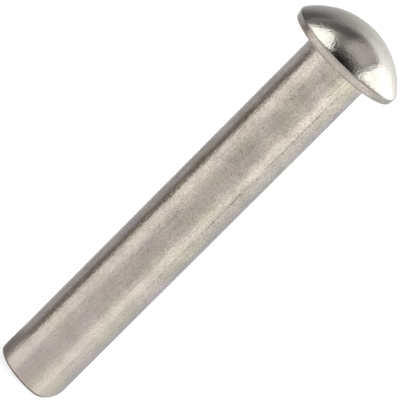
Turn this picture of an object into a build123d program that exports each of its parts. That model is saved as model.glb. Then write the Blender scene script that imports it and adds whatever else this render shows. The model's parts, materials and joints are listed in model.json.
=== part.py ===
"""Solid round head rivet, cold headed from one piece of stainless steel wire.

It stands on its tail with the head up. The shank's axis is Z, and the origin is on
that axis at the foot of the tail. Lengths are in millimetres, angles in degrees.
"""

import os

from build123d import *

# Shank
shank_diameter = 8.0
shank_length = 49.4  # from the foot of the tail to the seat under the head
root_fillet = 0.3  # where the shank runs into the seat

# Head: a short rim that leans out a little, under a low spherical dome
head_diameter = 13.84  # where rim and dome meet, before the crest is rounded
rim_height = 0.9
rim_lean = 0.16  # outwards, from the seat up to the dome
dome_height = 3.55
rim_round = 0.2  # rim's lower edge
crest_round = 0.4  # rim's upper edge, where the dome begins

# Tail: cropped from the wire a little out of square, and rolled over on the +X side,
# where the blade went in
crop_angle = 3.0
rollover_width = 2.0  # inwards from the shank's side
rollover_height = 1.5  # up the shank's side
tail_round = 0.25  # tumbled edge all round
crop_allowance = 1.5  # blank below the foot that the crop takes off

shank_radius = shank_diameter / 2
head_radius = head_diameter / 2
seat_radius = head_radius - rim_lean
rim_top = shank_length + rim_height
crown = rim_top + dome_height

# The rollover is the arc that touches the foot's level at its start and climbs to its
# height at the shank's side.
rollover_radius = (rollover_width**2 + rollover_height**2) / (2 * rollover_height)
rollover_start = shank_radius - rollover_width

with BuildPart() as rivet:
    # Headed blank, turned about the axis
    with BuildSketch(Plane.XZ):
        with BuildLine():
            Polyline(
                (0, -crop_allowance),
                (shank_radius, -crop_allowance),
                (shank_radius, shank_length),
                (seat_radius, shank_length),
                (head_radius, rim_top),
            )
            TangentArc((0, crown), (head_radius, rim_top), tangent=(1, 0))
            Line((0, crown), (0, -crop_allowance))
        make_face()
    revolve(axis=Axis.Z)

    blank_circles = rivet.edges().filter_by(GeomType.CIRCLE).group_by(Axis.Z)
    root_edge, rim_lower_edge = blank_circles[1].sort_by(SortBy.RADIUS)
    crest_edge = blank_circles[2]
    fillet(root_edge, radius=root_fillet)
    fillet(rim_lower_edge, radius=rim_round)
    fillet(crest_edge, radius=crest_round)

    # Crop: everything below the sheared face and its rollover goes
    with BuildSketch(Plane.XZ):
        with BuildLine():
            rollover = CenterArc(
                center=(rollover_start, rollover_radius),
                radius=rollover_radius,
                start_angle=-90 - crop_angle,
                arc_size=90 + crop_angle,
            )
            shear_face = PolarLine(rollover @ 0, shank_diameter, angle=180 - crop_angle)
            Polyline(
                shear_face @ 1,
                (-shank_diameter, -2 * crop_allowance),
                (shank_diameter, -2 * crop_allowance),
                (shank_diameter, rollover_radius),
                rollover @ 1,
            )
        make_face()
    extrude(amount=shank_diameter, both=True, mode=Mode.SUBTRACT)

    tail_edges = rivet.edges(Select.LAST).filter_by(GeomType.LINE, reverse=True)
    fillet(tail_edges, radius=tail_round)

rivet.part.label = "rivet"

os.makedirs("parts", exist_ok=True)
export_step(rivet.part, "parts/rivet.step")
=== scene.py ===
"""Solid round head rivet of stainless steel, standing on its cropped tail.

The rivet is one piece, as it is when it is cold headed from wire. A cylinder is drawn up
into seat, rim and dome, its tail is cropped and rolled over, and its skin is cut finely
enough to carry the waviness of drawn wire. Four finishes lie on it by zone. Lengths are
in metres.
"""

import json
import math

import bmesh
import bpy
from bpy.props import FloatProperty, FloatVectorProperty, IntProperty, PointerProperty
from mathutils import Matrix, Vector


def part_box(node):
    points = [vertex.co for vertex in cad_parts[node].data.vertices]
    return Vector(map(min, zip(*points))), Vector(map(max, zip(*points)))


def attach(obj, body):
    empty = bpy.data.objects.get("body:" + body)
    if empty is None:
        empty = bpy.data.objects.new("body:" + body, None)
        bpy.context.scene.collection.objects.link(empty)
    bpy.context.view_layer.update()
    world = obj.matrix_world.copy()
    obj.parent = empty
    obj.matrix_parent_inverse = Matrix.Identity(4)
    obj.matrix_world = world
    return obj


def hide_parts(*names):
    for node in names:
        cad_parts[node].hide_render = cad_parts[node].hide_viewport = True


bl_info = {
    "name": "Round Head Rivet",
    "version": (1, 0, 0),
    "blender": (4, 5, 0),
    "location": "3D View > Sidebar > Rivet",
    "description": "A solid round head rivet and the plain studio it stands in",
    "category": "Object",
}

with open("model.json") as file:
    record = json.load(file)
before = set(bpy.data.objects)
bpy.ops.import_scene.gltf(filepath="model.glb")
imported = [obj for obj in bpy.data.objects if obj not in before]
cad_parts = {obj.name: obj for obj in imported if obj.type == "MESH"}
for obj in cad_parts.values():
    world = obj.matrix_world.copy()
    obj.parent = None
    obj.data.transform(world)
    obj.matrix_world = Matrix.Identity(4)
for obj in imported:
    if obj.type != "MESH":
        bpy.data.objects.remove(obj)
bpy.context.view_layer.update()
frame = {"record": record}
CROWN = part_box("rivet")[1][2]
MOUNTS = {mount["name"]: mount for mount in frame["record"]["mounts"]}
MM = 0.001
SEAT = MOUNTS["head_seat"]["pos_m"][2]
NEAR = 0.002 * MM  # how close a point has to be to count as on a line or a level
CREST_ROW = 0.25 * MM  # width of the dome's lowest row of faces, which the crest's round cuts
DOME_ROWS = 62  # rows of faces over the rest of the dome
CORNER_RINGS = 8  # rows of faces round the tumbled corner of the tail
FOOT_RINGS = 26  # rows of faces from that corner to the middle of the foot
RING_STEP = 0.01 * MM  # between those rings, until they are settled
LEAN_STEPS = 200  # steps in a quarter turn, at which the ball of the corner is tried
LOOKS_DOWN = -0.22  # a face of the shank whose normal is lower than this is the tail's
SHANK, RIM, DOME, TAIL = range(4)  # the order of the finishes on the rivet
PLAIN = (1, 1, 1)  # the tint of plain light


# ---- Settings ----


class RivetSizes(bpy.types.PropertyGroup):
    """Sizes of the rivet"""

    shank_radius: FloatProperty(
        name="Shank radius",
        description="Half the diameter of the plain shank",
        default=MOUNTS["shank"]["dims"]["r_mm"] * MM,
        unit="LENGTH",
        precision=5,
    )
    seat_height: FloatProperty(
        name="Seat height",
        description="From the foot of the tail to the flat under the head",
        default=SEAT,
        unit="LENGTH",
        precision=5,
    )
    seat_radius: FloatProperty(
        name="Seat radius",
        description="Half the diameter of the flat under the head, before its edge is rounded",
        default=6.76 * MM,
        unit="LENGTH",
        precision=5,
    )
    head_radius: FloatProperty(
        name="Head radius",
        description="From the axis to where rim and dome meet, before the crest is rounded",
        default=6.92 * MM,
        unit="LENGTH",
        precision=5,
    )
    rim_height: FloatProperty(
        name="Rim height",
        description="From the seat to where rim and dome meet, before the crest is rounded",
        default=0.9 * MM,
        unit="LENGTH",
        precision=5,
    )
    crown_height: FloatProperty(
        name="Crown height",
        description="Height of the top of the dome above the foot",
        default=CROWN,
        unit="LENGTH",
        precision=5,
    )
    root_round: FloatProperty(
        name="Root round",
        description="Radius where the shank runs into the seat",
        default=0.3 * MM,
        unit="LENGTH",
        precision=5,
    )
    rim_round: FloatProperty(
        name="Rim round",
        description="Radius of the rim's lower edge",
        default=0.2 * MM,
        unit="LENGTH",
        precision=5,
    )
    crest_round: FloatProperty(
        name="Crest round",
        description="Radius of the rim's upper edge, where the dome begins",
        default=0.4 * MM,
        unit="LENGTH",
        precision=5,
    )
    crop_angle: FloatProperty(
        name="Crop angle",
        description="How far the sheared face is out of square",
        default=math.asin(-MOUNTS["tail_face"]["axis"][0]),
        subtype="ANGLE",
    )
    rollover_width: FloatProperty(
        name="Rollover width",
        description="How far the rolled edge reaches in from the shank's side",
        default=2.0 * MM,
        unit="LENGTH",
        precision=5,
    )
    rollover_height: FloatProperty(
        name="Rollover height",
        description="How far the rolled edge climbs up the shank's side",
        default=1.5 * MM,
        unit="LENGTH",
        precision=5,
    )
    tail_round: FloatProperty(
        name="Tail round",
        description="Radius of the tumbled edge round the tail",
        default=0.25 * MM,
        unit="LENGTH",
        precision=5,
    )
    sides: IntProperty(
        name="Sides",
        description="Faces round the rivet",
        default=192,
        min=32,
        max=256,
    )
    waviness: FloatProperty(
        name="Waviness",
        description="Depth of the slow unevenness of the drawn wire",
        default=0.008 * MM,
        unit="LENGTH",
        precision=6,
    )


class RivetFinish(bpy.types.PropertyGroup):
    """Colours and gloss of the steel"""

    steel: FloatVectorProperty(
        name="Steel",
        description="Colour of the bare steel",
        default=(0.634, 0.55, 0.513),
        subtype="COLOR",
        min=0,
        max=1,
    )
    straw: FloatVectorProperty(
        name="Straw",
        description="Colour of the steel where its skin is a little more yellow",
        default=(0.609, 0.5585, 0.463),
        subtype="COLOR",
        min=0,
        max=1,
    )
    rim: FloatVectorProperty(
        name="Rim",
        description="Colour of the steel of the rim and the seat",
        default=(0.62, 0.563, 0.502),
        subtype="COLOR",
        min=0,
        max=1,
    )
    dome: FloatVectorProperty(
        name="Dome",
        description="Colour of the bright steel of the dome",
        default=(0.64, 0.61, 0.555),
        subtype="COLOR",
        min=0,
        max=1,
    )
    mottle: FloatProperty(
        name="Mottle",
        description="Strength of the fine light and dark grain",
        default=0.16,
        subtype="FACTOR",
        min=0,
        max=1,
    )
    shank_roughness: FloatProperty(
        name="Shank roughness",
        description="Roughness of the satin shank",
        default=0.15,
        subtype="FACTOR",
        min=0,
        max=1,
    )
    rim_roughness: FloatProperty(
        name="Rim roughness",
        description="Roughness of the rim and the seat",
        default=0.2,
        subtype="FACTOR",
        min=0,
        max=1,
    )
    dome_roughness: FloatProperty(
        name="Dome roughness",
        description="Roughness of the bright dome",
        default=0.12,
        subtype="FACTOR",
        min=0,
        max=1,
    )


class RivetStudio(bpy.types.PropertyGroup):
    """Camera and light"""

    elevation: FloatProperty(
        name="Camera elevation",
        description="Height of the camera above the horizon",
        default=math.radians(15.0),
        subtype="ANGLE",
    )
    roll: FloatProperty(
        name="Camera roll",
        description="How far the camera is rolled, so that the rivet lies across the picture",
        default=math.radians(45.0),
        subtype="ANGLE",
    )
    distance: FloatProperty(
        name="Camera distance",
        description="From the camera to the point it looks at",
        default=0.4793,
        unit="LENGTH",
        precision=4,
    )
    lens: FloatProperty(
        name="Lens",
        description="Focal length on a 36 mm sensor, in millimetres",
        default=404.5,
        subtype="DISTANCE_CAMERA",
    )


# ---- Modelling ----


def start_piece(name):
    """Names the mesh that was just added and opens it in edit mode."""
    piece = bpy.context.object
    piece.name = name
    piece.data.name = name
    bpy.ops.object.mode_set(mode="EDIT")
    bpy.ops.mesh.select_mode(type="FACE")
    return piece


def select(piece, elements, test):
    """Selects only the edges or faces of the open mesh that pass the test."""
    bpy.ops.mesh.select_mode(type="EDGE" if elements == "edges" else "FACE")
    bpy.ops.mesh.select_all(action="DESELECT")
    mesh = bmesh.from_edit_mesh(piece.data)
    mesh.normal_update()
    for element in getattr(mesh, elements):
        if test(element):
            element.select_set(True)
    mesh.select_flush_mode()
    bmesh.update_edit_mesh(piece.data)


def from_axis(point):
    """How far a point is from the axis."""
    return math.hypot(point.x, point.y)


def is_ring(radius, height):
    """A test for the edges of the ring with that radius and height."""

    def test(edge):
        return all(
            abs(from_axis(v.co) - radius) < NEAR and abs(v.co.z - height) < NEAR
            for v in edge.verts
        )

    return test


def is_upright(radius, shortest):
    """A test for the upright edges at that radius that are longer than shortest."""

    def test(edge):
        on_side = all(abs(from_axis(v.co) - radius) < NEAR for v in edge.verts)
        run = abs(edge.verts[0].co.z - edge.verts[1].co.z)
        return on_side and run > shortest and run > 0.99 * edge.calc_length()

    return test


def raise_face(rise, scale):
    """Extrudes the selected cap upwards and scales it about the axis."""
    bpy.ops.mesh.extrude_region_move(TRANSFORM_OT_translate={"value": (0, 0, rise)})
    bpy.ops.transform.resize(value=(scale, scale, 1))


def head_the_blank(piece, sizes):
    """Draws the cylinder's top face out into the seat, up the rim and over the dome."""
    select(piece, "faces", lambda f: f.normal.z > 0.9)
    raise_face(0, sizes.seat_radius / sizes.shank_radius)
    raise_face(sizes.rim_height, sizes.head_radius / sizes.seat_radius)

    dome_height = sizes.crown_height - sizes.seat_height - sizes.rim_height
    dome_radius = (sizes.head_radius**2 + dome_height**2) / (2 * dome_height)
    spread = math.asin(sizes.head_radius / dome_radius)
    first = spread - CREST_ROW / dome_radius
    angle = spread
    for row in range(DOME_ROWS):
        inner = first * (1 - row / DOME_ROWS)
        rise = dome_radius * (math.cos(inner) - math.cos(angle))
        raise_face(rise, math.sin(inner) / math.sin(angle))
        angle = inner
    raise_face(dome_radius * (1 - math.cos(angle)), 1)
    bpy.ops.mesh.merge(type="CENTER")
    return spread


def round_the_head(piece, sizes, spread):
    """Rounds the root, the rim's lower edge and the crest."""
    rim_top = sizes.seat_height + sizes.rim_height
    lean = math.atan((sizes.head_radius - sizes.seat_radius) / sizes.rim_height)
    right = math.pi / 2
    for radius, height, rounding, turn, segments in (
        (sizes.shank_radius, sizes.seat_height, sizes.root_round, right, 6),
        (sizes.seat_radius, sizes.seat_height, sizes.rim_round, right - lean, 6),
        (sizes.head_radius, rim_top, sizes.crest_round, right - spread + lean, 8),
    ):
        select(piece, "edges", is_ring(radius, height))
        bpy.ops.mesh.bevel(
            offset=rounding * math.tan(turn / 2), segments=segments, affect="EDGES"
        )


def divide_the_shank(piece, sizes):
    """Cuts the long faces of the shank into rows short enough to carry its waviness."""
    for shortest, cuts in ((10 * MM, 10), (2 * MM, 15)):
        select(piece, "edges", is_upright(sizes.shank_radius, shortest))
        bpy.ops.mesh.subdivide(number_cuts=cuts)


def foot_height(sizes, x):
    """Height of the cropped foot at x: the sheared face, then the rolled edge's arc."""
    width, height = sizes.rollover_width, sizes.rollover_height
    radius = (width**2 + height**2) / (2 * height)
    run = x - (sizes.shank_radius - width)
    touch = -radius * math.sin(sizes.crop_angle)
    if run < touch:
        level = radius * (1 - math.cos(sizes.crop_angle))
        return level + (touch - run) * math.tan(sizes.crop_angle)
    return radius - math.sqrt(radius**2 - run**2)


def tail_corner(sizes, turn):
    """The tumbled corner at one turn round the axis.

    A ball of the corner's radius lies against the side and on the foot. The result is the
    height of its centre, and the angle by which the point that touches the foot leans
    outwards from straight below that centre.
    """
    ball = sizes.tail_round
    reach = sizes.shank_radius - ball

    def centre_height(lean):
        """Height of the ball's centre where it touches the foot at that lean."""
        x = (reach + ball * math.sin(lean)) * math.cos(turn)
        return foot_height(sizes, x) + ball * math.cos(lean)

    quarter = math.pi / 2
    inwards = 0.2  # the foot slopes, so the ball can lie on it a little inwards
    tries = int((quarter + inwards) / quarter * LEAN_STEPS) + 1
    leans = [quarter * step / LEAN_STEPS - inwards for step in range(tries)]
    lean = max(leans, key=centre_height)
    return centre_height(lean), lean


def add_foot_rings(piece):
    """Extrudes the bottom face into rings, each a step lower, and closes the last one."""
    select(piece, "faces", lambda f: f.normal.z < -0.9 and f.calc_center_median().z < NEAR)
    for _ in range(CORNER_RINGS + FOOT_RINGS - 1):
        raise_face(-RING_STEP, 1)
    raise_face(-RING_STEP, 0.5)
    bpy.ops.mesh.merge(type="CENTER")


def crop_the_tail(piece, sizes):
    """Settles the foot's rings and the shank's rows on the sheared and rolled tail."""
    add_foot_rings(piece)
    ball = sizes.tail_round
    reach = sizes.shank_radius - ball
    root = sizes.seat_height - sizes.root_round
    mesh = bmesh.from_edit_mesh(piece.data)
    corners = {}
    for vertex in mesh.verts:
        point = vertex.co
        if point.z > root - NEAR:
            continue
        turn = round(math.atan2(point.y, point.x), 5)
        if turn not in corners:
            corners[turn] = tail_corner(sizes, turn)
        height, lean = corners[turn]
        ring = round(-point.z / RING_STEP)
        if ring <= 0:
            point.z = height + (root - height) * point.z / root
            continue
        if ring <= CORNER_RINGS:
            tilt = math.pi / 2 + (lean - math.pi / 2) * ring / CORNER_RINGS
            radius = reach + ball * math.sin(tilt)
            level = height - ball * math.cos(tilt)
        else:
            inwards = 1 - (ring - CORNER_RINGS) / FOOT_RINGS
            radius = inwards * (reach + ball * math.sin(lean))
            level = foot_height(sizes, radius * math.cos(turn))
        point.xyz = radius * math.cos(turn), radius * math.sin(turn), level
    bmesh.update_edit_mesh(piece.data)


def apply_modifiers(piece):
    """Applies the modifiers in their order."""
    for modifier in list(piece.modifiers):
        bpy.ops.object.modifier_apply(modifier=modifier.name)


def work_the_surface(piece, sizes):
    """Adds the slow waviness of drawn wire and smooths the shading."""
    clouds = bpy.data.textures.new("wire_waviness", "CLOUDS")
    clouds.noise_scale = 2.2 * MM
    wave = piece.modifiers.new("waviness", "DISPLACE")
    wave.texture = clouds
    wave.texture_coords = "LOCAL"
    wave.strength = sizes.waviness
    bpy.ops.object.shade_smooth()
    piece.modifiers.new("even_normals", "WEIGHTED_NORMAL")
    apply_modifiers(piece)


def zone(sizes, face):
    """The finish that a face has, by its place and by how far it looks down."""
    if face.center.z > sizes.seat_height + sizes.rim_height:
        return DOME
    if from_axis(face.center) > sizes.shank_radius + sizes.root_round:
        return RIM
    if face.normal.z < LOOKS_DOWN:
        return TAIL
    return SHANK


# ---- Nodes ----


class Wiring:
    """A short way to add and join nodes in one node tree."""

    def __init__(self, tree):
        self.tree = tree

    def fill(self, node, inputs):
        """Sets or joins the node's inputs in order and skips those that are None."""
        for socket, value in zip(node.inputs, inputs):
            if isinstance(value, bpy.types.NodeSocket):
                self.tree.links.new(value, socket)
            elif value is not None:
                socket.default_value = value

    def node(self, kind, *inputs, out=0, **settings):
        """Adds a node, fills its inputs and returns one output."""
        node = self.tree.nodes.new(kind)
        for key, value in settings.items():
            setattr(node, key, value)
        self.fill(node, inputs)
        return node.outputs[out]

    def math(self, operation, *inputs):
        """Does a sum."""
        return self.node("ShaderNodeMath", *inputs, operation=operation)

    def split(self, vector):
        """The three parts of a vector."""
        node = self.tree.nodes.new("ShaderNodeSeparateXYZ")
        self.fill(node, (vector,))
        return node.outputs

    def step(self, value, low, high):
        """0 below low, 1 above high, and smooth between them."""
        return self.node(
            "ShaderNodeMapRange", value, low, high, interpolation_type="SMOOTHSTEP"
        )

    def span(self, value, low, high, to_low, to_high):
        """Carries the span from low to high over to another one and holds it at both ends."""
        return self.node("ShaderNodeMapRange", value, low, high, to_low, to_high)

    def blend(self, factor, below, above):
        """Mixes two numbers."""
        return self.node("ShaderNodeMix", factor, None, below, above)

    def blend_colors(self, factor, below, above, kind="MIX"):
        """Mixes two colours."""
        node = self.tree.nodes.new("ShaderNodeMix")
        node.data_type = "RGBA"
        node.blend_type = kind
        self.fill(node, (factor, None, None, None, None, None, below, above))
        return node.outputs[2]

    def group(self, tree, **inputs):
        """Places a node group, fills its named inputs and returns its outputs."""
        node = self.tree.nodes.new("ShaderNodeGroup")
        node.node_tree = tree
        for name, value in inputs.items():
            socket = node.inputs[name]
            if isinstance(value, bpy.types.NodeSocket):
                self.tree.links.new(value, socket)
            else:
                socket.default_value = value
        return node.outputs


def new_group(name, inputs, outputs):
    """Makes an empty node group; inputs and outputs map names to socket types.

    The result is its wiring, the sockets that it is given and the node that it ends in.
    """
    tree = bpy.data.node_groups.new(name, "ShaderNodeTree")
    for label, kind in inputs.items():
        tree.interface.new_socket(label, in_out="INPUT", socket_type=kind)
    for label, kind in outputs.items():
        tree.interface.new_socket(label, in_out="OUTPUT", socket_type=kind)
    start = tree.nodes.new("NodeGroupInput")
    end = tree.nodes.new("NodeGroupOutput")
    return Wiring(tree), start.outputs, end


def grain_group():
    """Uneven grain, as fine along each axis as asked: 0 to 1, and one half on average."""
    wires, given, end = new_group(
        "grain",
        {
            "Features": "NodeSocketVector",
            "Detail": "NodeSocketFloat",
            "Spread": "NodeSocketFloat",
        },
        {"Value": "NodeSocketFloat"},
    )
    place = wires.node("ShaderNodeTexCoord", out="Object")
    scaled = wires.node("ShaderNodeVectorMath", place, given["Features"], operation="MULTIPLY")
    noise = wires.node("ShaderNodeTexNoise", scaled, None, 1.0, given["Detail"], 0.6)
    low = wires.math("SUBTRACT", 0.5, given["Spread"])
    high = wires.math("ADD", 0.5, given["Spread"])
    wires.fill(end, (wires.step(noise, low, high),))
    return wires.tree


def place_group():
    """Where a point lies: its turn round the axis from the front, in degrees, and its height."""
    wires, _, end = new_group(
        "place", {}, {"Turn": "NodeSocketFloat", "Height": "NodeSocketFloat"}
    )
    x, y, z = wires.split(wires.node("ShaderNodeTexCoord", out="Object"))
    radians = wires.math("ARCTAN2", x, wires.math("MULTIPLY", y, -1.0))
    degrees = wires.math("MULTIPLY", radians, 180 / math.pi)
    wires.fill(end, (degrees, z))
    return wires.tree


def seam_group(place):
    """A broken die seam along the shank: 1 on its dots and 0 beside them."""
    wires, given, end = new_group(
        "seam",
        {
            "Turn": "NodeSocketFloat",
            "Half width": "NodeSocketFloat",
            "Start": "NodeSocketFloat",
            "End": "NodeSocketFloat",
        },
        {"Mask": "NodeSocketFloat"},
    )
    turn, height = wires.group(place)

    def along(size):
        """Noise that only changes along the shank, about one half on average."""
        return wires.node("ShaderNodeTexNoise", None, height, 1 / size, 1.0, noise_dimensions="1D")

    wander, shake = 3.0, 2.0  # in degrees, how far the seam strays slowly and quickly
    middle = wires.math("MULTIPLY_ADD", along(2.5 * MM), wander, given["Turn"])
    middle = wires.math("MULTIPLY_ADD", along(0.5 * MM), shake, middle)
    middle = wires.math("SUBTRACT", middle, (wander + shake) / 2)
    aside = wires.math("ABSOLUTE", wires.math("SUBTRACT", turn, middle))
    mask = wires.step(aside, given["Half width"], 0.0)
    for factor in (
        wires.step(along(0.28 * MM), 0.4, 0.56),
        wires.span(along(2 * MM), 0.4, 0.6, 0.3, 1.0),
        wires.span(height, given["Start"], wires.math("ADD", given["Start"], 20 * MM), 0.0, 1.0),
        wires.step(height, given["End"], wires.math("SUBTRACT", given["End"], 2 * MM)),
    ):
        mask = wires.math("MULTIPLY", mask, factor)
    wires.fill(end, (mask,))
    return wires.tree


# ---- Materials ----


def new_material(name):
    """Makes a material and returns it with its wiring and its shader."""
    material = bpy.data.materials.new(name)
    material.use_nodes = True
    tree = material.node_tree
    return material, Wiring(tree), tree.nodes["Principled BSDF"]


def features(*sizes):
    """How many features a metre holds along each axis, from one size or one for each axis."""
    if len(sizes) == 1:
        sizes *= 3
    return tuple(1 / size for size in sizes)


def bump(wires, *layers):
    """Adds up bumps, each a height from 0 to 1 and its depth, and returns the normal."""
    normal = None
    for height, depth in layers:
        normal = wires.node("ShaderNodeBump", 1.0, depth, None, height, normal)
    return normal


def skin(wires, grain, *layers):
    """A brightness factor near 1 from layers of grain, each a size and a strength."""
    total = 1.0
    for size, strength in layers:
        value = wires.group(grain, Features=features(size), Detail=2.0, Spread=0.22)[0]
        total = wires.math("ADD", wires.span(value, 0.0, 1.0, -strength, strength), total)
    return total


def shade(wires, color, *factors):
    """Multiplies a colour by each factor in turn."""
    for factor in factors:
        color = wires.node("ShaderNodeVectorMath", color, None, None, factor, operation="SCALE")
    return color


def bare_metal(wires, shader, color, roughness, normal):
    """Gives the shader a colour, a roughness and a normal, and makes it metal."""
    for name, value in (("Base Color", color), ("Roughness", roughness), ("Normal", normal)):
        wires.tree.links.new(value, shader.inputs[name])
    shader.inputs["Metallic"].default_value = 1


def satin_shank(finish, groups):
    """The drawn skin of the shank: satin, finely mottled, with draw lines and a seam.

    It gets yellower and lighter towards the head. It is dull just under the head, where
    the die pressed it, and a little duller at the foot.
    """
    material, wires, shader = new_material("satin_shank")
    grain, place, seam = groups
    clouds = wires.group(grain, Features=features(4 * MM), Detail=1.0, Spread=0.15)[0]
    lines = wires.group(
        grain, Features=features(0.3 * MM, 0.3 * MM, 6 * MM), Detail=2.0, Spread=0.25
    )[0]
    pits = wires.group(grain, Features=features(0.32 * MM), Detail=3.0, Spread=0.3)[0]
    specks = wires.group(grain, Features=features(0.22 * MM), Detail=1.0, Spread=0.22)[0]
    dashes = wires.group(
        seam, Turn=39.0, **{"Half width": 1.9, "Start": 8 * MM, "End": 47.5 * MM}
    )[0]
    mottle = skin(
        wires,
        grain,
        (0.16 * MM, finish.mottle),
        (0.5 * MM, finish.mottle * 0.3),
        (3.0 * MM, finish.mottle * 0.6),
    )
    height = wires.group(place)[1]
    growth = wires.span(height, 2 * MM, 26 * MM, 0.5, 1.2)
    grit = wires.math("MULTIPLY", mottle, wires.span(specks, 0.85, 1.0, 1.0, 0.8))
    grit = wires.math("MULTIPLY_ADD", wires.math("SUBTRACT", grit, 1.0), growth, 1.0)
    pressed = wires.step(height, SEAT - 1.8 * MM, SEAT - 0.9 * MM)
    tinge = wires.span(height, 18 * MM, 34 * MM, 0.0, 0.35)
    tinge = wires.math("MULTIPLY_ADD", clouds, 0.7, tinge)
    color = wires.blend_colors(tinge, (*finish.steel, 1), (*finish.straw, 1))
    color = shade(
        wires,
        color,
        grit,
        wires.span(height, 33 * MM, 45 * MM, 1.0, 1.09),
        # Lighter just under the head
        wires.span(pressed, 0.0, 1.0, 1.0, 1.1),
        wires.span(lines, 0.0, 1.0, 0.94, 1.06),
        wires.span(dashes, 0.0, 1.0, 1.0, 0.3),
    )
    satin = finish.shank_roughness
    roughness = wires.span(pits, 0.0, 1.0, satin - 0.04, satin + 0.04)
    roughness = wires.blend(pressed, roughness, 0.32)
    worn = wires.step(height, 4.8 * MM, 1.5 * MM)
    roughness = wires.blend(worn, roughness, 0.2)
    normal = bump(wires, (lines, 0.006 * MM), (pits, 0.011 * MM), (dashes, -0.014 * MM))
    bare_metal(wires, shader, color, roughness, normal)
    return material


def die_rim(finish, groups):
    """The rim and the seat, streaked round and along by the die, and dull on the seat."""
    material, wires, shader = new_material("die_rim")
    grain, place = groups[:2]
    mottle = skin(wires, grain, (0.18 * MM, finish.mottle * 0.6), (0.7 * MM, finish.mottle * 0.5))
    streaks = wires.group(
        grain, Features=features(0.22 * MM, 0.22 * MM, 1.6 * MM), Detail=2.0, Spread=0.25
    )[0]
    rings = wires.group(
        grain, Features=features(2.5 * MM, 2.5 * MM, 0.15 * MM), Detail=1.0, Spread=0.25
    )[0]
    color = shade(
        wires,
        (*finish.rim,),
        mottle,
        wires.span(streaks, 0.0, 1.0, 0.96, 1.08),
        wires.span(rings, 0.0, 1.0, 0.91, 1.07),
    )
    height = wires.group(place)[1]
    dull = wires.step(height, SEAT + 0.25 * MM, SEAT + 0.1 * MM)
    matt = finish.rim_roughness
    roughness = wires.span(streaks, 0.0, 1.0, matt - 0.04, matt + 0.04)
    roughness = wires.blend(dull, roughness, 0.8)
    normal = bump(wires, (streaks, 0.006 * MM), (rings, 0.005 * MM))
    bare_metal(wires, shader, color, roughness, normal)
    return material


def bright_dome(finish, groups):
    """The dome, polished by the die and finely scratched by tumbling."""
    material, wires, shader = new_material("bright_dome")
    grain = groups[0]
    mottle = skin(wires, grain, (0.18 * MM, finish.mottle * 0.3), (2 * MM, finish.mottle * 0.4))
    haze = wires.group(grain, Features=features(1.2 * MM), Detail=3.0, Spread=0.2)[0]
    scratches = wires.group(grain, Features=features(0.34 * MM), Detail=3.0, Spread=0.3)[0]
    color = shade(wires, (*finish.dome,), mottle)
    bright = finish.dome_roughness
    roughness = wires.span(haze, 0.0, 1.0, bright - 0.03, bright + 0.04)
    dents = wires.group(grain, Features=features(0.15 * MM), Detail=1.0, Spread=0.25)[0]
    normal = bump(wires, (scratches, 0.01 * MM), (dents, 0.0025 * MM))
    bare_metal(wires, shader, color, roughness, normal)
    return material


def sheared_tail(finish, groups):
    """The sheared face: scored along the blade's way, torn where it broke, with painted shade as a
    dark line round its edge.
    """
    material, wires, shader = new_material("sheared_tail")
    grain = groups[0]
    score = wires.group(
        grain, Features=features(3 * MM, 0.12 * MM, 3 * MM), Detail=2.0, Spread=0.25
    )[0]
    torn = wires.group(grain, Features=features(0.3 * MM), Detail=4.0, Spread=0.25)[0]
    edge = wires.group(grain, Features=features(1.5 * MM), Detail=2.0, Spread=0.5)[0]
    x, y, _ = wires.split(wires.node("ShaderNodeTexCoord", out="Object"))
    border = wires.math("MULTIPLY_ADD", edge, 1.2 * MM, x)
    broken = wires.step(border, 0.2 * MM, -0.4 * MM)
    rough = wires.math("MULTIPLY", broken, torn)
    flat = wires.node("ShaderNodeCombineXYZ", x, y)
    reach = wires.node("ShaderNodeVectorMath", flat, operation="LENGTH", out="Value")
    color = shade(
        wires,
        (*finish.steel,),
        wires.span(score, 0.0, 1.0, 0.88, 1.0),
        wires.span(rough, 0.0, 1.0, 1.0, 0.7),
        # Painted shade: the colour darkens to a thin dark line round the tail's edge
        wires.span(reach, 3.79 * MM, 3.86 * MM, 1.0, 0.25),
    )
    roughness = wires.span(rough, 0.0, 1.0, 0.3, 0.55)
    normal = bump(wires, (score, 0.004 * MM), (rough, 0.03 * MM))
    bare_metal(wires, shader, color, roughness, normal)
    return material


# ---- Studio ----


def light(level, tint=PLAIN):
    """The colour of a light, from its level and its tint."""
    return (*(level * part for part in tint), 1)


def pane(wires, across, along, corners, edge):
    """A soft-edged convex pane, its corners in anticlockwise order: 1 inside, 0 outside."""
    mask = None
    for (x, y), (next_x, next_y) in zip(corners, corners[1:] + corners[:1]):
        length = math.hypot(next_x - x, next_y - y)
        slope_x, slope_y = (y - next_y) / length, (next_x - x) / length
        inwards = wires.math("MULTIPLY_ADD", across, slope_x, -x * slope_x - y * slope_y)
        inwards = wires.math("MULTIPLY_ADD", along, slope_y, inwards)
        side = wires.step(inwards, -edge, edge)
        mask = side if mask is None else wires.math("MULTIPLY", mask, side)
    return mask


def turn_share(wires, x, front):
    """The turn of a direction, from -180 to 180 degrees, as a share from 0 to 1."""
    return wires.math("MULTIPLY_ADD", wires.math("ARCTAN2", x, front), 1 / (2 * math.pi), 0.5)


def around(wires, share, stops):
    """Light all round at one height; each stop is a turn in degrees, a level and a tint.

    Turn 0 is towards the camera, and positive turns go to the right.
    """
    ramp = wires.tree.nodes.new("ShaderNodeValToRGB")
    wires.fill(ramp, (share,))
    elements = ramp.color_ramp.elements
    for number, (degrees, level, tint) in enumerate(stops):
        place = degrees / 360 + 0.5
        stop = elements[number] if number < 2 else elements.new(place)
        stop.position = place
        stop.color = light(level, tint)
    return ramp.outputs[0]


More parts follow.
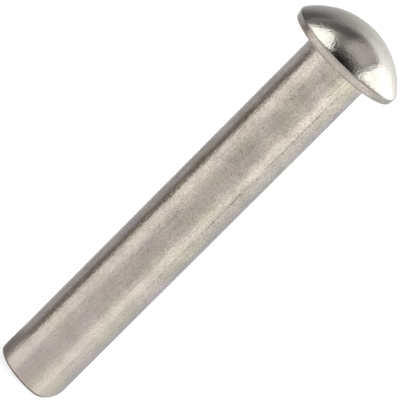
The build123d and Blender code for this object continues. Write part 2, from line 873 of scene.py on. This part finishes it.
def light_sides(wires, share):
    """The light all round: level with the rivet, below it, and overhead at the back."""
    mild, cool = (0.97, 1, 1.07), (0.925, 1, 1.12)
    faint, grey = (0.975, 1, 1.01), (0.945, 1, 1.045)
    brown, straw = (1.05, 1, 0.93), (0.97, 1, 0.97)
    sides = around(wires, share, (
        (-180, 1.3, PLAIN), (-168, 1.1, PLAIN), (-160, 0.82, PLAIN), (-150, 0.49, cool),
        (-130, 0.45, mild), (-110, 0.48, mild), (-104, 0.22, brown), (-84, 0.19, brown),
        (-77, 1.0, PLAIN), (-60, 1.03, PLAIN), (-42, 0.96, PLAIN), (-34, 0.72, PLAIN),
        (0, 0.63, PLAIN), (32, 0.71, PLAIN), (44, 1.0, straw), (58, 1.2, straw),
        (68, 1.16, straw), (80, 0.91, straw), (96, 0.92, straw), (110, 0.79, faint),
        (124, 0.76, grey), (138, 0.65, grey), (150, 0.6, grey), (162, 0.64, grey),
        (180, 0.55, faint),
    ))
    below = around(wires, share, (
        (-180, 0.5, PLAIN), (-120, 0.46, PLAIN), (-107, 0.24, brown), (-94, 0.24, brown),
        (-86, 0.7, PLAIN), (-60, 0.84, PLAIN), (-28, 0.8, PLAIN), (0, 0.74, PLAIN),
        (30, 0.82, PLAIN), (76, 0.84, PLAIN), (98, 0.78, grey), (116, 0.56, grey),
        (180, 0.5, grey),
    ))
    behind = around(wires, share, (
        (-180, 0.7, PLAIN), (-165, 0.5, PLAIN), (-155, 0.42, PLAIN), (-148, 0.3, PLAIN),
        (-140, 0.16, PLAIN), (-134, 0.12, PLAIN), (-104, 0.13, PLAIN), (-90, 0.3, PLAIN),
        (90, 0.3, PLAIN), (140, 1.7, PLAIN), (150, 1.4, PLAIN), (160, 1.05, PLAIN),
        (170, 0.9, PLAIN), (180, 0.7, PLAIN),
    ))
    return sides, below, behind


def hang_panes(wires, across, along, tent):
    """Hangs lamps and dark cards overhead in the tent, each over those before it."""
    for color, corners, edge in (
        # A dark card behind
        (light(0.13), ((0.0, -0.15), (-3.0, -0.68), (0.14, -0.66)), 0.07),
        # A faintly pink grey panel over the middle
        (
            light(0.53, (1.055, 1, 1.015)),
            ((-0.2, 0.6), (-0.1, -0.25), (0.12, -0.6), (0.46, -0.7), (0.42, 0.6)),
            0.08,
        ),
        # The dark opening in front, and its black core
        (light(0.14), ((-0.36, 0.09), (0.48, 0.19), (0.75, 1.0), (-0.75, 1.0)), 0.1),
        (light(0.015), ((-0.36, 0.35), (0.38, 0.34), (0.6, 0.95), (-0.6, 0.95)), 0.07),
        # A dim frame beside the right lamp
        (
            light(0.3),
            ((0.38, 0.42), (0.38, 0.15), (0.47, -0.15), (0.54, -0.15), (0.54, 0.42)),
            0.04,
        ),
        # The left lamp, the right lamp and a bar across the right one
        (light(1.62), ((-0.37, 0.43), (-1.7, 0.75), (-1.7, -0.52), (-0.46, -0.12)), 0.03),
        (light(1.8), ((0.56, 0.37), (0.58, -0.72), (6.0, -9.7), (9.0, -7.5), (1.12, -0.1)), 0.03),
        (light(1.2), ((0.52, -0.12), (0.52, -0.19), (1.0, -0.38), (1.0, -0.31)), 0.03),
    ):
        tent = wires.blend_colors(pane(wires, across, along, corners, edge), tent, color)
    return tent


def build_world():
    """A tent of soft lights and dark cards round the rivet, which its polish mirrors."""
    world = bpy.data.worlds.new("light_tent")
    bpy.context.scene.world = world
    world.use_nodes = True
    tree = world.node_tree
    tree.nodes.clear()
    wires = Wiring(tree)
    x, y, z = wires.split(wires.node("ShaderNodeTexCoord", out="Generated"))
    front = wires.math("MULTIPLY", y, -1.0)
    share = turn_share(wires, x, front)

    sides, below, behind = light_sides(wires, share)
    # Overhead is laid out on a level sheet one unit up: across to the right, along to the front
    up = wires.math("MAXIMUM", z, 0.02)
    across = wires.math("DIVIDE", x, up)
    along = wires.math("DIVIDE", front, up)
    ahead = wires.blend_colors(wires.step(z, 0.66, 0.76), light(0.55), light(0.3))
    tent = wires.blend_colors(wires.step(along, -0.92, -0.6), behind, ahead)
    tent = hang_panes(wires, across, along, tent)
    tent = wires.blend_colors(wires.step(z, -0.12, 0.02), sides, tent)
    tent = wires.blend_colors(wires.step(z, -0.46, -0.3), below, tent)
    tent = wires.blend_colors(wires.step(z, -0.92, -0.8), light(0.5), tent)
    rays = tree.nodes.new("ShaderNodeLightPath")
    shown = wires.blend_colors(rays.outputs["Is Camera Ray"], tent, light(1))
    background = tree.nodes.new("ShaderNodeBackground")
    tree.links.new(shown, background.inputs["Color"])
    output = tree.nodes.new("ShaderNodeOutputWorld")
    tree.links.new(background.outputs[0], output.inputs["Surface"])


def lay_floor():
    """Lays a pale floor, which only the camera sees and which keeps the rivet's shadow."""
    bpy.ops.mesh.primitive_plane_add(size=4)
    floor = bpy.context.object
    floor.name = "floor"
    material, wires, shader = new_material("pale_floor")
    floor.data.materials.append(material)
    shader.inputs["Base Color"].default_value = (0.9, 0.9, 0.9, 1)
    shader.inputs["Specular IOR Level"].default_value = 0
    # Its own glow keeps it white and the shadow faint
    shader.inputs["Emission Color"].default_value = (1, 1, 1, 1)
    shader.inputs["Emission Strength"].default_value = 0.58
    # Seen from below, the floor is clear and shows the tail
    under = wires.node("ShaderNodeNewGeometry", out="Backfacing")
    clear = wires.node("ShaderNodeBsdfTransparent")
    surface = wires.node("ShaderNodeMixShader", under, shader.outputs[0], clear)
    wires.tree.links.new(surface, wires.tree.nodes["Material Output"].inputs["Surface"])
    floor.visible_glossy = False
    floor.visible_diffuse = False
    floor.visible_shadow = False


def lay_foot_card(sizes):
    """Lays a glowing card on the floor beside the foot, which only reflections see; dim over most
    of it, it puts painted shade into the foot's reflection, as if of the rivet's shadow on the
    floor.
    """
    width = 18 * MM
    gap = 0.4 * MM  # from the shank to the card
    lift = 0.02 * MM  # from the floor to the card
    right = -sizes.shank_radius - gap
    bpy.ops.mesh.primitive_plane_add(size=width, location=(right - width / 2, 3 * MM, lift))
    bpy.ops.object.transform_apply(location=True, rotation=True, scale=True)
    card = bpy.context.object
    card.name = "foot_card"
    material, wires, shader = new_material("foot_card")
    wires.tree.nodes.remove(shader)
    card.data.materials.append(material)
    # The left of the foot mirrors as if from this point, within the shank
    middle = (-2.2 * MM, -2.8 * MM, 0)
    place = wires.node("ShaderNodeTexCoord", out="Object")
    offset = wires.node("ShaderNodeVectorMath", place, middle, operation="SUBTRACT")
    x, y, _ = wires.split(offset)
    share = turn_share(wires, x, wires.math("MULTIPLY", y, -1.0))
    color = around(wires, share, (
        (-180, 0.36, PLAIN), (-150, 0.3, PLAIN), (-132, 0.26, PLAIN), (-118, 0.25, PLAIN),
        (-106, 0.3, PLAIN), (-96, 0.42, PLAIN), (-88, 0.5, PLAIN), (-80, 0.8, PLAIN),
        (-76, 1.0, PLAIN),
    ))
    # It fades out away from the foot
    reach = wires.node("ShaderNodeVectorMath", offset, operation="LENGTH", out="Value")
    glow = wires.node("ShaderNodeEmission", color)
    clear = wires.node("ShaderNodeBsdfTransparent")
    surface = wires.node("ShaderNodeMixShader", wires.step(reach, 10 * MM, 16 * MM), glow, clear)
    wires.tree.links.new(surface, wires.tree.nodes["Material Output"].inputs["Surface"])
    card.visible_camera = False
    card.visible_diffuse = False
    card.visible_transmission = False
    card.visible_shadow = False


def place_camera(studio):
    """Sets up the camera in front of the rivet, rolled so that it lies across the picture."""
    camera = bpy.data.objects.new("camera", bpy.data.cameras.new("camera"))
    bpy.context.scene.collection.objects.link(camera)
    camera.data.lens = studio.lens
    camera.data.clip_start = 0.01
    camera.data.clip_end = 10
    back = Vector((0, -math.cos(studio.elevation), math.sin(studio.elevation)))
    rise = Vector((0, math.sin(studio.elevation), math.cos(studio.elevation)))
    upright = Matrix((Vector((1, 0, 0)), rise, back)).transposed()
    roll = Matrix.Rotation(studio.roll, 3, "Z")
    aim = Vector((-0.136 * MM, 0, 27.46 * MM))  # in the middle of the picture
    camera.matrix_world = Matrix.LocRotScale(
        aim + back * studio.distance, (upright @ roll).to_quaternion(), None
    )
    bpy.context.scene.camera = camera


# ---- Operators ----


class RIVET_OT_body(bpy.types.Operator):
    """Model the rivet, from the headed blank to its cropped tail"""

    bl_idname = "rivet.body"
    bl_label = "Rivet"

    def execute(self, context):
        sizes = context.scene.rivet_sizes
        finish = context.scene.rivet_finish
        bpy.ops.object.select_all(action="DESELECT")
        bpy.ops.mesh.primitive_cylinder_add(
            vertices=sizes.sides,
            radius=sizes.shank_radius,
            depth=sizes.seat_height,
            location=(0, 0, sizes.seat_height / 2),
        )
        bpy.ops.object.transform_apply(location=True, rotation=True, scale=True)
        piece = start_piece("rivet_steel")
        spread = head_the_blank(piece, sizes)
        round_the_head(piece, sizes, spread)
        divide_the_shank(piece, sizes)
        crop_the_tail(piece, sizes)
        bpy.ops.mesh.select_all(action="SELECT")
        bpy.ops.mesh.remove_doubles(threshold=0.0001 * MM)
        bpy.ops.mesh.normals_make_consistent(inside=False)
        bpy.ops.object.mode_set(mode="OBJECT")
        work_the_surface(piece, sizes)
        grain, place = grain_group(), place_group()
        groups = grain, place, seam_group(place)
        for make in (satin_shank, die_rim, bright_dome, sheared_tail):
            piece.data.materials.append(make(finish, groups))
        for face in piece.data.polygons:
            face.material_index = zone(sizes, face)
        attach(piece, "root")
        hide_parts("rivet")
        return {"FINISHED"}


class RIVET_OT_studio(bpy.types.Operator):
    """Set up the pale floor, the light tent and the camera"""

    bl_idname = "rivet.studio"
    bl_label = "Studio"

    def execute(self, context):
        context.scene.view_settings.view_transform = "Standard"
        build_world()
        place_camera(context.scene.rivet_studio)
        bpy.ops.object.select_all(action="DESELECT")
        lay_floor()
        lay_foot_card(context.scene.rivet_sizes)
        return {"FINISHED"}


class RIVET_PT_panel(bpy.types.Panel):
    """Buttons and sizes in the sidebar"""

    bl_idname = "RIVET_PT_panel"
    bl_label = "Round Head Rivet"
    bl_space_type = "VIEW_3D"
    bl_region_type = "UI"
    bl_category = "Rivet"

    def draw(self, context):
        layout = self.layout
        for operator in (RIVET_OT_body, RIVET_OT_studio):
            layout.operator(operator.bl_idname)
        for group in ("rivet_sizes", "rivet_finish", "rivet_studio"):
            settings = getattr(context.scene, group)
            column = layout.column()
            for name in type(settings).__annotations__:
                column.prop(settings, name)


SETTINGS = {
    "rivet_sizes": RivetSizes,
    "rivet_finish": RivetFinish,
    "rivet_studio": RivetStudio,
}
CLASSES = (*SETTINGS.values(), RIVET_OT_body, RIVET_OT_studio, RIVET_PT_panel)


def register():
    """Adds the classes, and their settings to the scene."""
    for cls in CLASSES:
        bpy.utils.register_class(cls)
    for name, group in SETTINGS.items():
        setattr(bpy.types.Scene, name, PointerProperty(type=group))


def unregister():
    """Takes the settings and the classes away again."""
    for name in SETTINGS:
        delattr(bpy.types.Scene, name)
    for cls in reversed(CLASSES):
        bpy.utils.unregister_class(cls)


def main():
    """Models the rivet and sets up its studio."""
    register()
    bpy.ops.rivet.body()
    bpy.ops.rivet.studio()


if __name__ == "__main__":
    main()
